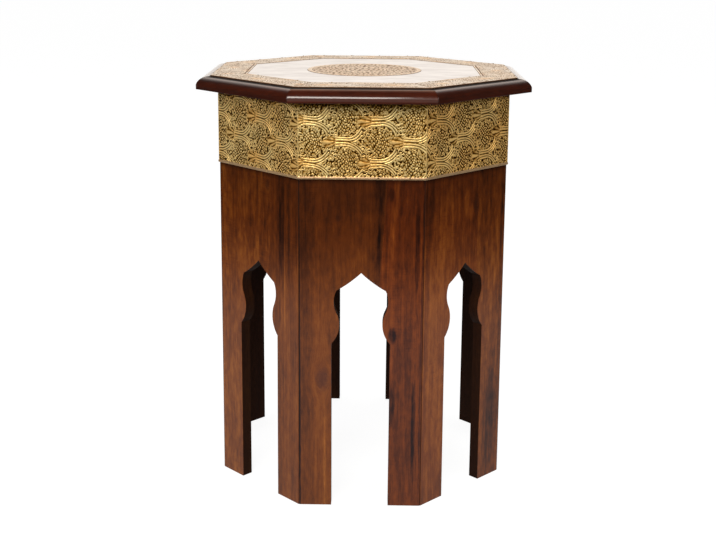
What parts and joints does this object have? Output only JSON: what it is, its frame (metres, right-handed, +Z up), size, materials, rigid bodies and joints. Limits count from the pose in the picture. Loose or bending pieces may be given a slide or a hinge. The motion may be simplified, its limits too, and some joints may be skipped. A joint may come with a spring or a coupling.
{
  "type": "octagonal stool",
  "caption": "Octagonal wooden stool with a cusped arch sawn out of each side, an embossed brass apron and a brass-bordered top.",
  "frame": {"origin": "middle of the footprint, on the floor", "axes": "+Z up, -Y out of the front side, +X to the right seen from the front"},
  "size_m": [0.358, 0.358, 0.4576],
  "materials": {
    "side_wood": "gloss lacquer",
    "moulding_wood": "high gloss lacquer",
    "inner_wood": "raw",
    "brass": "embossed, antiqued",
    "white_metal": "satin",
    "steel": "zinc plated"
  },
  "bodies": {
    "root": {"top_board": "inner_wood", "centre_sheet": "white_metal", "medallion": "brass", "top_screws": "steel", "apron_pins": "brass", "border_pins": "brass", "side_board_wide_front": "side_wood", "side_board_narrow_front": "side_wood", "edge_moulding_front": "moulding_wood", "brass_border_front": "brass", "brass_apron_front": "brass", "corner_block_1": "inner_wood", "side_board_wide_front_right": "side_wood", "side_board_narrow_front_right": "side_wood", "edge_moulding_front_right": "moulding_wood", "brass_border_front_right": "brass", "brass_apron_front_right": "brass", "corner_block_2": "inner_wood", "side_board_wide_right": "side_wood", "side_board_narrow_right": "side_wood", "edge_moulding_right": "moulding_wood", "brass_border_right": "brass", "brass_apron_right": "brass", "corner_block_3": "inner_wood", "side_board_wide_back_right": "side_wood", "side_board_narrow_back_right": "side_wood", "edge_moulding_back_right": "moulding_wood", "brass_border_back_right": "brass", "brass_apron_back_right": "brass", "corner_block_4": "inner_wood", "side_board_wide_back": "side_wood", "side_board_narrow_back": "side_wood", "edge_moulding_back": "moulding_wood", "brass_border_back": "brass", "brass_apron_back": "brass", "corner_block_5": "inner_wood", "side_board_wide_back_left": "side_wood", "side_board_narrow_back_left": "side_wood", "edge_moulding_back_left": "moulding_wood", "brass_border_back_left": "brass", "brass_apron_back_left": "brass", "corner_block_6": "inner_wood", "side_board_wide_left": "side_wood", "side_board_narrow_left": "side_wood", "edge_moulding_left": "moulding_wood", "brass_border_left": "brass", "brass_apron_left": "brass", "corner_block_7": "inner_wood", "side_board_wide_front_left": "side_wood", "side_board_narrow_front_left": "side_wood", "edge_moulding_front_left": "moulding_wood", "brass_border_front_left": "brass", "brass_apron_front_left": "brass", "corner_block_8": "inner_wood"}
  },
  "joints": []
}
